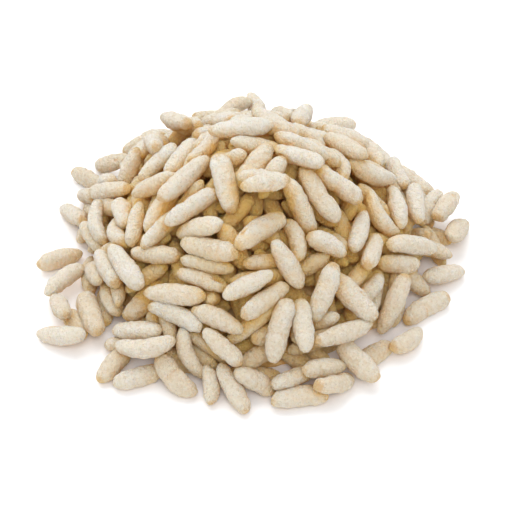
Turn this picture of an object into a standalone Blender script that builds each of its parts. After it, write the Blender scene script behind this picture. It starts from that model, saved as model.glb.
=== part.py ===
# Puffed rice: a loose heap of long puffed grains, as it lies on a table.
# Metres, +Z up. The heap stands on z = 0 with its middle over the origin.
# It is one solid: a low core with the grains that show fused onto it.

import math

import bmesh
import bpy
import numpy as np

for thing in list(bpy.data.objects):
    bpy.data.objects.remove(thing, do_unlink=True)

# Driving sizes, in millimetres.
mm = 0.001
grainLength = 10.8
grainWidth = 3.7
heapRadius = 37.0        # out to the middles of the outermost grains
heapHeight = 31.0
rimHeight = 5.4          # the edge is up to two grains thick
slopePower = 1.35
layersDepth = 11.0       # loose grains lie this deep over the ground that they are dropped on
grainBite = 0.5          # soft grains press this far into each other where they touch
wedgeBite = 1.2          # and this far where they are wedged between others
smallShare = 0.77        # of the usual length, for grains that slip into gaps
smallDrop = 1.0          # and they stay this much lower
coreDepth = 2.7          # the fused core stays this far under the mean height of the grains
coreReach = 3.0          # taken over this far each way
rimOfCore = 0.8
bowedFrom = 0.07         # a grain bowed more than this has a ring at its middle too
sixSidedRadius = 1.1     # a six-sided grain this much wider at its corners is as thick as a round one
coreSink = 0.5           # fused grains all lie this much lower, so that they grip the core
randomSeed = 7

# How grains are let down on the heap.
spotsTried = 60          # places looked at for each grain
patience = 80            # misses in a row, after which the heap is full
usualRoom = 1.1          # a grain may stand this far above the skin
extraRoom = 1.2          # and now and then this much further
extraChance = 0.12
settleRoom = 0.6         # settling can bring a grain down by this much
standingCost = 0.3       # what weighs against a rest, for each millimetre above the skin
pitchCost = 0.15
topDepth = 3.0           # the skin is kept free this deep for the long grains on top,
mostDepth = 6.0          # and at most this deep where they cross
edgeShare = 0.93         # further out than this share of the radius they lie at the edge,
edgeDepth = 4.6          # where more is kept free under them
edgeSpare = 1.2          # and beside them
wedgeDrop = 0.4          # a wedged grain stays this far below the long grains

# The height map that grains are dropped on.
cell = 0.4
fewestCells = 38         # a grain that shows over fewer cells is left to the core
halfMap = 56.0
cells = int(2 * halfMap / cell)

# The long grains that lie on top: x, y, heading in degrees, length, width, bow.
# They are laid last, from the edge of the heap to its top.
topGrains = (
    (38.5, 8.5, 62, 9.5, 3.6, 0.0),
    (41, 4, 65, 11.5, 3.9, 0.02),
    (-35, -20, 120, 8, 3.6, 0.0),
    (-38, -18, 121, 8.5, 3.6, 0.0),
    (-37.5, -23.5, 168, 11, 3.8, 0.03),
    (8.5, -38.5, 15, 11, 3.9, 0.05),
    (14.5, -37, 45, 10.5, 3.7, -0.04),
    (-4.5, -37.5, 125, 11, 3.9, 0.0),
    (-22, -33.5, 25, 10, 3.7, -0.03),
    (-38, -10.5, 55, 11, 3.8, 0.03),
    (-39.5, -2.5, 33, 10, 3.7, 0.02),
    (-37.5, 9, 130, 10.5, 3.7, -0.03),
    (-35, 21, 145, 10, 3.6, 0.0),
    (-20, 34, 172, 10.5, 3.8, 0.03),
    (-25.5, 27, 32, 9.5, 3.7, 0.0),
    (0.5, 44, 115, 10.5, 3.8, 0.0),
    (-5, 42.5, 35, 10, 3.7, 0.12),
    (6, 40, 118, 9.5, 3.8, 0.0),
    (17.5, 38, 10, 10, 3.7, 0.05),
    (33.5, 19.5, 134, 11, 3.9, 0.03),
    (38, -8, 35, 10.5, 3.7, 0.0),
    (0, -36, 5, 9.5, 3.7, 0.0),
    (7, -35, 28, 10.5, 3.7, 0.0),
    (12.5, -34.5, 25, 10, 3.6, 0.0),
    (-27, -30.5, 60, 9.5, 3.7, 0.0),
    (23, -28, 44, 9, 3.7, 0.0),
    (29, -24.5, 42, 9.5, 3.8, -0.12),
    (33, -16, 33, 11.5, 3.8, 0.06),
    (19, -32, 143, 11, 4.1, 0.0),
    (-32, -19, 115, 12.5, 4.1, 0.02),
    (-15.5, -34, 140, 11, 3.9, 0.10),
    (16, -28, 31, 13, 3.9, -0.02),
    (-21, -30, 173, 12.5, 4.0, 0.12),
    (26.5, -18.5, 55, 13, 4.0, 0.0),
    (30, -7, 20, 13, 4.0, 0.05),
    (32, 4.5, 88, 11.5, 3.8, 0.0),
    (28, 1, 98, 12, 3.9, -0.03),
    (-6, -32, 142, 10, 3.7, 0.0),
    (8.5, -28.5, 97, 11, 3.7, 0.0),
    (4.5, -29.5, 69, 12.5, 3.9, 0.03),
    (18.5, -21.5, 135, 13, 4.1, 0.0),
    (-7, -28, 158, 11, 3.8, -0.05),
    (-22.5, -25, 165, 11, 3.8, 0.0),
    (-25, -14.5, 120, 13, 4.0, 0.02),
    (-15.5, -22.5, 166, 13, 3.9, 0.02),
    (12.5, -22.5, 57, 12, 3.8, 0.0),
    (2, -26, 38, 11.5, 3.8, 0.0),
    (-1.5, -24, 23, 10.5, 3.8, 0.0),
    (22, -12.5, 78, 10.5, 3.7, 0.0),
    (19.5, -9, 76, 11, 3.8, 0.0),
    (23, 7, 15, 13, 3.9, -0.14),
    (15.5, -3, 165, 11, 3.9, 0.0),
    (6, -19.5, 140, 11, 4.1, 0.0),
    (-8.5, -17, 157, 13, 3.9, 0.0),
    (11.5, -6.5, 134, 13, 4.2, 0.02),
    (8, -9, 131, 12.5, 4.1, -0.02),
    (0, -15.5, 42, 12.5, 3.9, 0.03),
    (-10.5, -13.5, 145, 12.5, 4.0, 0.0),
    (-12, -9, 30, 12, 3.8, 0.0),
    (-5.5, -6, 105, 12.5, 4.1, 0.0),
    (-13.5, -3.5, 47, 13.5, 4.2, -0.02),
    (-16, 20, 125, 13, 4.0, 0.03),
    (20.5, 31, 3, 12, 3.8, 0.0),
    (-31, 13, 104, 9.5, 3.8, 0.0),
    (-20.5, 15, 102, 11.5, 3.9, 0.0),
    (-26, 11.5, 42, 11, 3.8, 0.0),
    (-6, 20, 123, 9.5, 3.8, 0.0),
    (3, 18, 145, 10, 3.8, 0.0),
    (9, 22, 83, 10, 3.7, 0.0),
    (24, 18, 102, 10.5, 3.9, 0.0),
    (17.5, 17, 164, 10.5, 3.8, 0.04),
    (17.5, 9, 150, 10.5, 3.8, 0.0),
    (7.5, -1, 150, 11, 3.8, 0.0),
    (-0.5, -2.5, 53, 11, 3.9, 0.0),
    (2.5, -5, 56, 9.5, 3.7, 0.0),
    (1, -7.5, 167, 9.5, 3.7, 0.0),
    (2, -10.5, 6, 9.5, 3.7, 0.0),
    (-2.5, 5.5, 17, 13, 4.0, 0.0),
    (8.5, 4, 172, 11.5, 3.9, 0.0),
)


# The heap's outline and skin.
def edgeRadius(angle):
    lobes = 0.03 * np.sin(angle) - 0.02 * np.cos(angle) + 0.015 * np.cos(3 * angle - 0.8)
    lobes += 0.015 * np.cos(5 * angle + 1.0)
    return heapRadius * (1 + lobes)


def skinHeight(x, y):
    share = np.hypot(x, y) / edgeRadius(np.arctan2(y, x))
    return rimHeight + (heapHeight - rimHeight) * (1 - np.clip(share, 0, 1) ** slopePower)


# A grain is followed as a row of balls along its bowed middle line, from share -1 to 1 of its length.
def thickness(share):
    return (1 - np.abs(share) ** 3) ** 0.55


def ballRow(x, y, heading, pitch, length, width, bow, shares):
    along = length[:, None] / 2 * shares
    aside = bow[:, None] * length[:, None] * (0.5 - shares ** 2)
    radius = width[:, None] / 2 * thickness(shares)
    turnCos, turnSin = np.cos(heading)[:, None], np.sin(heading)[:, None]
    flat, rise = np.cos(pitch)[:, None], np.sin(pitch)[:, None]
    ballX = x[:, None] + along * flat * turnCos - aside * turnSin
    ballY = y[:, None] + along * flat * turnSin + aside * turnCos
    return ballX, ballY, along * rise, radius


fewShares = np.linspace(-0.9, 0.9, 9)
manyShares = np.linspace(-0.97, 0.97, 25)

# Points on the underside of a ball of radius 1: its foot, and two rings round it.
underside = [(0.0, 0.0)]
for ringRadius, ringCount, ringTurn in ((0.55, 6, 0.0), (0.92, 8, 0.5)):
    for k in range(ringCount):
        angle = (k + ringTurn) * 2 * math.pi / ringCount
        underside.append((ringRadius * math.cos(angle), ringRadius * math.sin(angle)))
underside = np.array(underside)
undersideDrop = np.sqrt(1 - (underside ** 2).sum(axis=1))


def cellOf(position):
    return np.clip(((position + halfMap) / cell).astype(int), 0, cells - 1)


# The height at which each grain would come to rest on the ground, and how far it would
# then stand above the limit. Heights are rounded so that ties fall the same way everywhere.
def tryGrains(ground, limit, bite, x, y, heading, pitch, length, width, bow):
    ballX, ballY, ballZ, radius = ballRow(x, y, heading, pitch, length, width, bow, fewShares)
    pointX = ballX[:, :, None] + underside[:, 0] * radius[:, :, None]
    pointY = ballY[:, :, None] + underside[:, 1] * radius[:, :, None]
    pointZ = ballZ[:, :, None] - undersideDrop * radius[:, :, None]
    below = ground[cellOf(pointX), cellOf(pointY)]
    reach = (below - np.where(below > 0, bite, 0.0) - pointZ).reshape(len(x), -1)
    height = reach.max(axis=1)
    above = (ballZ + radius - limit[cellOf(ballX), cellOf(ballY)]).max(axis=1) + height
    return np.round(height, 4), np.round(above, 4)


# Lets one grain slide, turn and tip a little, four times over, to its lowest rest.
def settle(ground, limit, bite, x, y, heading, length, width, bow, slide, turn, pitches):
    step = np.array((-1.0, 0.0, 1.0))
    tip = float(pitches[1] - pitches[0])
    for go in range(4):
        tries = np.meshgrid(x + slide * step, y + slide * step, heading + turn * step, pitches, indexing="ij")
        tryX, tryY, tryHeading, tryPitch = (values.ravel() for values in tries)
        same = np.ones(len(tryX))
        heights, above = tryGrains(ground, limit, bite, tryX, tryY, tryHeading, tryPitch,
                                   length * same, width * same, bow * same)
        cost = heights + standingCost * np.clip(above, 0, None) + pitchCost * tryPitch ** 2
        best = int(np.round(cost, 4).argmin())
        x, y, heading, pitch = (float(values[best]) for values in (tryX, tryY, tryHeading, tryPitch))
        slide *= 0.6
        turn *= 0.6
        tip *= 0.5
        pitches = pitch + tip * np.arange(-2, 3)
    return {"x": round(x, 4), "y": round(y, 4), "z": float(heights[best]), "heading": round(heading, 4),
            "pitch": round(pitch, 4), "length": length, "width": width, "bow": bow,
            "above": float(above[best])}


# The cells under one grain, and the height of its upper side over them.
def upperSide(grain):
    sizes = (np.array([grain[name]]) for name in ("x", "y", "heading", "pitch", "length", "width", "bow"))
    ballX, ballY, ballZ, radius = (row[0] for row in ballRow(*sizes, manyShares))
    rows = slice(cellOf(ballX.min() - 3), cellOf(ballX.max() + 3) + 1)
    columns = slice(cellOf(ballY.min() - 3), cellOf(ballY.max() + 3) + 1)
    gridX, gridY = (middles[rows, columns] for middles in cellMiddles)
    ballX, ballY, ballZ, radius = (values[:, None, None] for values in (ballX, ballY, ballZ, radius))
    space = radius ** 2 - (gridX - ballX) ** 2 - (gridY - ballY) ** 2
    top = np.where(space > 0, ballZ + np.sqrt(np.clip(space, 0, None)), -999).max(axis=0)
    return rows, columns, top + grain["z"]


def layOn(ground, owner, grain, grains):
    rows, columns, top = upperSide(grain)
    higher = top > ground[rows, columns]
    ground[rows, columns][higher] = top[higher]
    owner[rows, columns][higher] = len(grains)
    grains.append(grain)


def drawGrain(rng, shrink):
    length = float(np.clip(rng.normal(grainLength, 1.2), 7.0, 13.0)) * shrink
    width = float(np.clip(rng.normal(grainWidth, 0.28), 3.1, 4.4)) * (length / grainLength) ** 0.25
    bow = float(rng.normal(0, 0.035))
    if rng.random() < 0.1:
        bow = float(rng.choice((-1, 1)) * rng.uniform(0.10, 0.16))
    return round(length, 3), round(width, 3), round(bow, 4)


middleLine = (np.arange(cells) + 0.5) * cell - halfMap
cellMiddles = np.meshgrid(middleLine, middleLine, indexing="ij")


# Drops grains one by one where the heap falls furthest short of the limit, till they no longer fit.
def fillUp(rng, ground, owner, limit, grains, bite, shrink):
    firstPitches = np.radians((-40, -20, 0, 20, 40))
    misses = 0
    while misses < patience:
        angle = rng.uniform(0, 2 * math.pi, spotsTried)
        radius = np.sqrt(rng.uniform(0, 1, spotsTried)) * edgeRadius(angle)
        x, y = radius * np.cos(angle), radius * np.sin(angle)
        heading = rng.uniform(0, 2 * math.pi, spotsTried)
        drawn = np.array([drawGrain(rng, shrink) for _ in range(spotsTried)])
        room = usualRoom + (extraRoom if rng.random() < extraChance else 0.0)
        spread = [np.repeat(values, len(firstPitches)) for values in (x, y, heading)]
        sizes = [np.repeat(values, len(firstPitches)) for values in drawn.T]
        heights, above = tryGrains(ground, limit, bite, *spread, np.tile(firstPitches, spotsTried), *sizes)
        heights = heights.reshape(spotsTried, -1).min(axis=1)
        above = above.reshape(spotsTried, -1).min(axis=1)
        short = np.round(limit[cellOf(x), cellOf(y)] - heights - drawn[:, 1] / 2, 4)
        short[above > room + settleRoom] = -99
        pick = int(short.argmax())
        grain = None
        if short[pick] > -90:
            grain = settle(ground, limit, bite, x[pick], y[pick], heading[pick], *map(float, drawn[pick]),
                           0.8, 0.18, np.radians(np.arange(-60, 61, 20)))
        if grain is None or grain["above"] > room:
            misses += 1
        else:
            misses = 0
            layOn(ground, owner, grain, grains)


# Fills the heap, lays the long grains on top, and wedges small ones in the gaps between them.
# Gives the grains, with the count of cells where each shows, and the height map of the heap.
def layHeap():
    rng = np.random.default_rng(randomSeed)
    skin = skinHeight(*cellMiddles)
    inside = np.hypot(*cellMiddles) < edgeRadius(np.arctan2(cellMiddles[1], cellMiddles[0]))
    ground = np.where(inside, np.clip(skin - layersDepth, 0, None), 0.0)
    owner = np.full(skin.shape, -1)
    limit = skin.copy()
    chosen = []
    for x, y, heading, length, width, bow in topGrains:
        chosen.append({"x": x, "y": y, "z": 0.0, "heading": math.radians(heading), "pitch": 0.0,
                       "length": length, "width": width, "bow": bow})
    for grain in chosen:
        share = math.hypot(grain["x"], grain["y"]) / edgeRadius(math.atan2(grain["y"], grain["x"]))
        spare, depth = (edgeSpare, edgeDepth) if share > edgeShare else (0.0, topDepth)
        rows, columns, top = upperSide(dict(grain, width=grain["width"] + spare))
        limit[rows, columns] -= np.where(top > -99, depth, 0.0)
    limit = np.maximum(limit, skin - mostDepth)
    grains = []
    fillUp(rng, ground, owner, limit, grains, grainBite, 1.0)
    fillUp(rng, ground, owner, limit - smallDrop, grains, grainBite, smallShare)
    under = len(grains)
    for grain in chosen:
        sizes = (grain[name] for name in ("x", "y", "heading", "length", "width", "bow"))
        grain = settle(ground, skin + 99, grainBite, *sizes, 0.25, 0.05, np.radians(np.arange(-40, 41, 20)))
        layOn(ground, owner, grain, grains)
    limit = np.where(owner >= under, ground - wedgeDrop, skin - smallDrop)
    fillUp(rng, ground, owner, limit, grains, wedgeBite, smallShare)
    for number, grain in enumerate(grains):
        grain["shows"] = int((owner == number).sum())
    return grains, ground


# A grain as a spindle with six sides: one ring at each shoulder, and one at the middle of a bowed one.
def makeGrain(grain, collection):
    sides = 6
    shares = (-0.62, 0.62)
    if abs(grain["bow"]) > bowedFrom:
        shares = (-0.66, 0.0, 0.66)
    turn = np.array((math.cos(grain["heading"]), math.sin(grain["heading"]), 0.0))
    side = np.array((-turn[1], turn[0], 0.0))
    forward = turn * math.cos(grain["pitch"]) + np.array((0.0, 0.0, math.sin(grain["pitch"])))
    upward = np.cross(forward, side)
    middle = np.array((grain["x"], grain["y"], grain["z"] - coreSink))

    # What would sink into the table is flattened on it.
    def spot(share, across, up):
        aside = grain["bow"] * grain["length"] * (0.5 - share ** 2)
        x, y, z = middle + forward * share * grain["length"] / 2 + side * (aside + across) + upward * up
        return x * mm, y * mm, max(z, 0.0) * mm

    mesh = bmesh.new()
    rings = []
    for share in shares:
        radius = sixSidedRadius * grain["width"] / 2
        ring = []
        for k in range(sides):
            angle = k * 2 * math.pi / sides
            ring.append(mesh.verts.new(spot(share, radius * math.cos(angle), radius * math.sin(angle))))
        rings.append(ring)
    tail = mesh.verts.new(spot(-1, 0, 0))
    head = mesh.verts.new(spot(1, 0, 0))
    for k in range(sides):
        after = (k + 1) % sides
        mesh.faces.new((tail, rings[0][k], rings[0][after]))
        for low, high in zip(rings, rings[1:]):
            mesh.faces.new((low[k], high[k], high[after], low[after]))
        mesh.faces.new((head, rings[-1][after], rings[-1][k]))
    bmesh.ops.recalc_face_normals(mesh, faces=mesh.faces)
    bmesh.ops.connect_verts_nonplanar(mesh, faces=mesh.faces, angle_limit=math.radians(0.2))
    data = bpy.data.meshes.new("grain")
    mesh.to_mesh(data)
    mesh.free()
    collection.objects.link(bpy.data.objects.new("grain", data))


# The core: rings of a low dome that follows the grains round it, closed by a flat base on z = 0.
def makeCore(ground):
    sectors = 24
    shares = (1.06, 0.95, 0.80, 0.62, 0.42, 0.2)
    around = np.arange(-coreReach, coreReach + 0.1, 0.6)
    nearX, nearY = np.meshgrid(around, around)

    def coreHeight(x, y):
        near = ground[cellOf(x + nearX), cellOf(y + nearY)]
        return max(float(near.mean()) - coreDepth, rimOfCore)

    mesh = bmesh.new()
    rings = []
    for index, share in enumerate((shares[0],) + shares):
        ring = []
        for k in range(sectors):
            angle = k * 2 * math.pi / sectors
            radius = share * float(edgeRadius(angle))
            x, y = radius * math.cos(angle), radius * math.sin(angle)
            z = 0.0 if index == 0 else coreHeight(x, y)
            ring.append(mesh.verts.new((x * mm, y * mm, z * mm)))
        rings.append(ring)
    peak = mesh.verts.new((0, 0, coreHeight(0, 0) * mm))
    for low, high in zip(rings, rings[1:]):
        for k in range(sectors):
            mesh.faces.new((low[k], low[(k + 1) % sectors], high[(k + 1) % sectors], high[k]))
    for k in range(sectors):
        mesh.faces.new((rings[-1][k], rings[-1][(k + 1) % sectors], peak))
    mesh.faces.new(rings[0])
    bmesh.ops.recalc_face_normals(mesh, faces=mesh.faces)
    bmesh.ops.triangulate(mesh, faces=mesh.faces)
    data = bpy.data.meshes.new("puffed_rice")
    mesh.to_mesh(data)
    mesh.free()
    core = bpy.data.objects.new("puffed_rice", data)
    bpy.context.scene.collection.objects.link(core)
    return core


# Leaves the one outer shell: sealed hollows become solid and loose scraps go.
def keepOuterShell(mesh):
    left = set(mesh.faces)
    shells = []
    while left:
        shell = set()
        waiting = [left.pop()]
        while waiting:
            face = waiting.pop()
            shell.add(face)
            for edge in face.edges:
                for other in edge.link_faces:
                    if other in left:
                        left.remove(other)
                        waiting.append(other)
        shells.append(shell)
    shells.sort(key=len)
    print("shells besides the outer one:", [len(shell) for shell in shells[:-1]])
    extra = [face for shell in shells[:-1] for face in shell]
    bmesh.ops.delete(mesh, geom=extra, context="FACES")


def riceMaterial():
    material = bpy.data.materials.new("puffed_rice")
    material.use_nodes = True
    shader = material.node_tree.nodes["Principled BSDF"]
    shader.inputs["Base Color"].default_value = (0.82, 0.72, 0.55, 1.0)
    shader.inputs["Roughness"].default_value = 0.8
    shader.inputs["Metallic"].default_value = 0.0
    return material


grains, ground = layHeap()
heap = makeCore(ground)
loose = bpy.data.collections.new("loose grains")
bpy.context.scene.collection.children.link(loose)
shown = [grain for grain in grains if grain["shows"] > fewestCells]
for grain in shown:
    makeGrain(grain, loose)
print("grains laid:", len(grains), "grains fused:", len(shown))

fuse = heap.modifiers.new("fuse", "BOOLEAN")
fuse.operation = "UNION"
fuse.operand_type = "COLLECTION"
fuse.collection = loose
fuse.solver = "EXACT"
bpy.context.view_layer.objects.active = heap
bpy.ops.object.modifier_apply(modifier=fuse.name)
for thing in list(loose.objects):
    bpy.data.objects.remove(thing, do_unlink=True)
bpy.data.collections.remove(loose)

fused = bmesh.new()
fused.from_mesh(heap.data)
keepOuterShell(fused)
bmesh.ops.triangulate(fused, faces=fused.faces)
fused.to_mesh(heap.data)
fused.free()
heap.data.materials.clear()
heap.data.materials.append(riceMaterial())
print("triangles:", len(heap.data.polygons))
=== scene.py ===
import math
import bmesh
import bpy
import numpy as np
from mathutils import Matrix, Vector


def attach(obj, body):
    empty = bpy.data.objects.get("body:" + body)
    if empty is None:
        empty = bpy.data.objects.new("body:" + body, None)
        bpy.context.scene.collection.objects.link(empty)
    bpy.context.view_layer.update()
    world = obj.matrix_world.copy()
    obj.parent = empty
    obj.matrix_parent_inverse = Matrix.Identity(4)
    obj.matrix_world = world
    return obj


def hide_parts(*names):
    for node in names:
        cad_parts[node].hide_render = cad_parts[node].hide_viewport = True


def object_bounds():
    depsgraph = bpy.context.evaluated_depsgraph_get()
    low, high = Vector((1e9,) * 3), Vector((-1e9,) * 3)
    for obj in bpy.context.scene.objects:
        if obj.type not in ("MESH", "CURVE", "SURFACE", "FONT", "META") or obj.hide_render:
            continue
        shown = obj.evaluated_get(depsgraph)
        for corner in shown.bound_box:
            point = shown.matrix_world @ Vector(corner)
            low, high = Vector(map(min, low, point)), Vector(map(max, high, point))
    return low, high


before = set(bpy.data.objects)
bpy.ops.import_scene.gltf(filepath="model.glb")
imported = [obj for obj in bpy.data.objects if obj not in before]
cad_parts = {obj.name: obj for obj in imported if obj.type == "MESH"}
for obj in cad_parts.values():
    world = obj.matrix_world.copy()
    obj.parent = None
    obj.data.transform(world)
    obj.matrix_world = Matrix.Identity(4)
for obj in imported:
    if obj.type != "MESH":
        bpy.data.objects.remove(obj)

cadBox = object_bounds()
mm = 0.001

# How the heap lies, in millimetres.
heap = {
    "grainLength": 10.8,
    "grainWidth": 3.7,
    "heapRadius": 37.0,         # out to the middles of the outermost grains
    "heapHeight": 31.0,
    "rimHeight": 5.4,
    "slopePower": 1.35,
    "backLobe": 0.03,           # the outline lies this share of the radius further back,
    "leftLobe": 0.02,           # and this share further left
    "lobeDepth": 0.015,         # of the smaller lobes, as a share of the radius
    "lobes": ((3, -0.8), (5, 1.0)),    # how many go round, and how far they are turned
    "layersDepth": 11.0,        # loose grains lie this deep over the heart of the heap
    "grainBite": 0.5,           # soft grains press this far into each other
    "wedgeBite": 1.2,           # and this far where they are wedged between others
    "smallShare": 0.77,         # of the usual length, for grains that slip into gaps
    "smallDrop": 1.0,           # and they stay this much lower
    "randomSeed": 7,
    "spotsTried": 60,           # places looked at for each grain
    "patience": 80,             # misses in a row, after which the heap is full
    "usualRoom": 1.1,           # a grain may stand this far above the skin
    "extraRoom": 1.2,           # and now and then this much further
    "extraChance": 0.12,
    "settleRoom": 0.6,          # settling can bring a grain down by this much
    "settleGoes": 4,
    "slide": 0.8,               # how far a loose grain slides and turns as it settles,
    "turn": 0.18,               # in radians
    "topSlide": 0.25,           # and a long one on top
    "topTurn": 0.05,
    "narrowing": 0.6,           # each go slides and turns this share of the one before,
    "tipNarrowing": 0.5,        # and tips this share
    "firstTips": (-40, -20, 0, 20, 40),    # degrees, tried first and for the grains on top
    "wideTips": (-60, -40, -20, 0, 20, 40, 60),     # and as a loose grain settles
    "standingCost": 0.3,        # what weighs against a rest, for each millimetre above the skin
    "pitchCost": 0.15,
    "topDepth": 3.0,            # the skin is kept free this deep for the long grains on top,
    "mostDepth": 6.0,           # and at most this deep where they cross
    "edgeShare": 0.93,          # further out than this share of the radius they lie at the edge,
    "edgeDepth": 4.6,           # where more is kept free under them
    "edgeSpare": 1.2,           # and beside them
    "wedgeDrop": 0.4,           # a wedged grain stays this far below the long grains
    "cell": 0.4,                # of the height map
    "halfMap": 56.0,
}
cells = int(2 * heap["halfMap"] / heap["cell"])
emptyCell = -999                # stands where a grain covers nothing

# The sizes that a loose grain is drawn from, in millimetres.
looseGrain = {
    "fullness": 3,              # how far the thick middle reaches
    "roundness": 0.55,          # of the tips
    "lengthSpread": 1.2,
    "shortest": 7.0,
    "longest": 13.0,
    "widthSpread": 0.28,
    "thinnest": 3.1,
    "thickest": 4.4,
    "widthPower": 0.25,         # how much thicker the longer ones are
    "bowSpread": 0.035,         # of the length, as is the bend
    "bentChance": 0.1,
    "bentRange": (0.10, 0.16),
}

# The long grains on top, laid from the edge of the heap to its crown: x, y, heading in degrees,
# length, width and bow.
topGrains = (
    (38.5, 8.5, 62, 9.5, 3.6, 0.0),
    (41, 4, 65, 11.5, 3.9, 0.02),
    (-35, -20, 120, 8, 3.6, 0.0),
    (-38, -18, 121, 8.5, 3.6, 0.0),
    (-37.5, -23.5, 168, 11, 3.8, 0.03),
    (8.5, -38.5, 15, 11, 3.9, 0.05),
    (14.5, -37, 45, 10.5, 3.7, -0.04),
    (-4.5, -37.5, 125, 11, 3.9, 0.0),
    (-22, -33.5, 25, 10, 3.7, -0.03),
    (-38, -10.5, 55, 11, 3.8, 0.03),
    (-39.5, -2.5, 33, 10, 3.7, 0.02),
    (-37.5, 9, 130, 10.5, 3.7, -0.03),
    (-35, 21, 145, 10, 3.6, 0.0),
    (-20, 34, 172, 10.5, 3.8, 0.03),
    (-25.5, 27, 32, 9.5, 3.7, 0.0),
    (0.5, 44, 115, 10.5, 3.8, 0.0),
    (-5, 42.5, 35, 10, 3.7, 0.12),
    (6, 40, 118, 9.5, 3.8, 0.0),
    (17.5, 38, 10, 10, 3.7, 0.05),
    (33.5, 19.5, 134, 11, 3.9, 0.03),
    (38, -8, 35, 10.5, 3.7, 0.0),
    (0, -36, 5, 9.5, 3.7, 0.0),
    (7, -35, 28, 10.5, 3.7, 0.0),
    (12.5, -34.5, 25, 10, 3.6, 0.0),
    (-27, -30.5, 60, 9.5, 3.7, 0.0),
    (23, -28, 44, 9, 3.7, 0.0),
    (29, -24.5, 42, 9.5, 3.8, -0.12),
    (33, -16, 33, 11.5, 3.8, 0.06),
    (19, -32, 143, 11, 4.1, 0.0),
    (-32, -19, 115, 12.5, 4.1, 0.02),
    (-15.5, -34, 140, 11, 3.9, 0.10),
    (16, -28, 31, 13, 3.9, -0.02),
    (-21, -30, 173, 12.5, 4.0, 0.12),
    (26.5, -18.5, 55, 13, 4.0, 0.0),
    (30, -7, 20, 13, 4.0, 0.05),
    (32, 4.5, 88, 11.5, 3.8, 0.0),
    (28, 1, 98, 12, 3.9, -0.03),
    (-6, -32, 142, 10, 3.7, 0.0),
    (8.5, -28.5, 97, 11, 3.7, 0.0),
    (4.5, -29.5, 69, 12.5, 3.9, 0.03),
    (18.5, -21.5, 135, 13, 4.1, 0.0),
    (-7, -28, 158, 11, 3.8, -0.05),
    (-22.5, -25, 165, 11, 3.8, 0.0),
    (-25, -14.5, 120, 13, 4.0, 0.02),
    (-15.5, -22.5, 166, 13, 3.9, 0.02),
    (12.5, -22.5, 57, 12, 3.8, 0.0),
    (2, -26, 38, 11.5, 3.8, 0.0),
    (-1.5, -24, 23, 10.5, 3.8, 0.0),
    (22, -12.5, 78, 10.5, 3.7, 0.0),
    (19.5, -9, 76, 11, 3.8, 0.0),
    (23, 7, 15, 13, 3.9, -0.14),
    (15.5, -3, 165, 11, 3.9, 0.0),
    (6, -19.5, 140, 11, 4.1, 0.0),
    (-8.5, -17, 157, 13, 3.9, 0.0),
    (11.5, -6.5, 134, 13, 4.2, 0.02),
    (8, -9, 131, 12.5, 4.1, -0.02),
    (0, -15.5, 42, 12.5, 3.9, 0.03),
    (-10.5, -13.5, 145, 12.5, 4.0, 0.0),
    (-12, -9, 30, 12, 3.8, 0.0),
    (-5.5, -6, 105, 12.5, 4.1, 0.0),
    (-13.5, -3.5, 47, 13.5, 4.2, -0.02),
    (-16, 20, 125, 13, 4.0, 0.03),
    (20.5, 31, 3, 12, 3.8, 0.0),
    (-31, 13, 104, 9.5, 3.8, 0.0),
    (-20.5, 15, 102, 11.5, 3.9, 0.0),
    (-26, 11.5, 42, 11, 3.8, 0.0),
    (-6, 20, 123, 9.5, 3.8, 0.0),
    (3, 18, 145, 10, 3.8, 0.0),
    (9, 22, 83, 10, 3.7, 0.0),
    (24, 18, 102, 10.5, 3.9, 0.0),
    (17.5, 17, 164, 10.5, 3.8, 0.04),
    (17.5, 9, 150, 10.5, 3.8, 0.0),
    (7.5, -1, 150, 11, 3.8, 0.0),
    (-0.5, -2.5, 53, 11, 3.9, 0.0),
    (2.5, -5, 56, 9.5, 3.7, 0.0),
    (1, -7.5, 167, 9.5, 3.7, 0.0),
    (2, -10.5, 6, 9.5, 3.7, 0.0),
    (-2.5, 5.5, 17, 13, 4.0, 0.0),
    (8.5, 4, 172, 11.5, 3.9, 0.0),
)


# The heap's outline and skin, the skin by its share of the way from the middle to the edge.
def edgeRadius(angle):
    reach = heap["backLobe"] * np.sin(angle) - heap["leftLobe"] * np.cos(angle)
    for count, turn in heap["lobes"]:
        reach = reach + heap["lobeDepth"] * np.cos(count * angle + turn)
    return heap["heapRadius"] * (1 + reach)


def skinAt(share):
    return heap["rimHeight"] + (heap["heapHeight"] - heap["rimHeight"]) * (1 - share ** heap["slopePower"])


def skinHeight(x, y):
    return skinAt(np.clip(np.hypot(x, y) / edgeRadius(np.arctan2(y, x)), 0, 1))


# A grain is followed as a row of balls along its bowed middle line, from share -1 to 1 of its length.
def thickness(share):
    return (1 - np.abs(share) ** looseGrain["fullness"]) ** looseGrain["roundness"]


def ballRow(x, y, heading, pitch, length, width, bow, shares):
    along = length[:, None] / 2 * shares
    aside = bow[:, None] * length[:, None] * (0.5 - shares ** 2)
    radius = width[:, None] / 2 * thickness(shares)
    turnCos, turnSin = np.cos(heading)[:, None], np.sin(heading)[:, None]
    flat, rise = np.cos(pitch)[:, None], np.sin(pitch)[:, None]
    ballX = x[:, None] + along * flat * turnCos - aside * turnSin
    ballY = y[:, None] + along * flat * turnSin + aside * turnCos
    return ballX, ballY, along * rise, radius


fewShares = np.linspace(-0.9, 0.9, 9)         # for trying places
manyShares = np.linspace(-0.97, 0.97, 25)     # for the height map

# Points on the underside of a ball of radius 1: its foot, and two rings round it.
underside = [(0.0, 0.0)]
for ringRadius, ringCount, ringTurn in ((0.55, 6, 0.0), (0.92, 8, 0.5)):
    for k in range(ringCount):
        angle = (k + ringTurn) * 2 * math.pi / ringCount
        underside.append((ringRadius * math.cos(angle), ringRadius * math.sin(angle)))
underside = np.array(underside)
undersideDrop = np.sqrt(1 - (underside ** 2).sum(axis=1))

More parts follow.
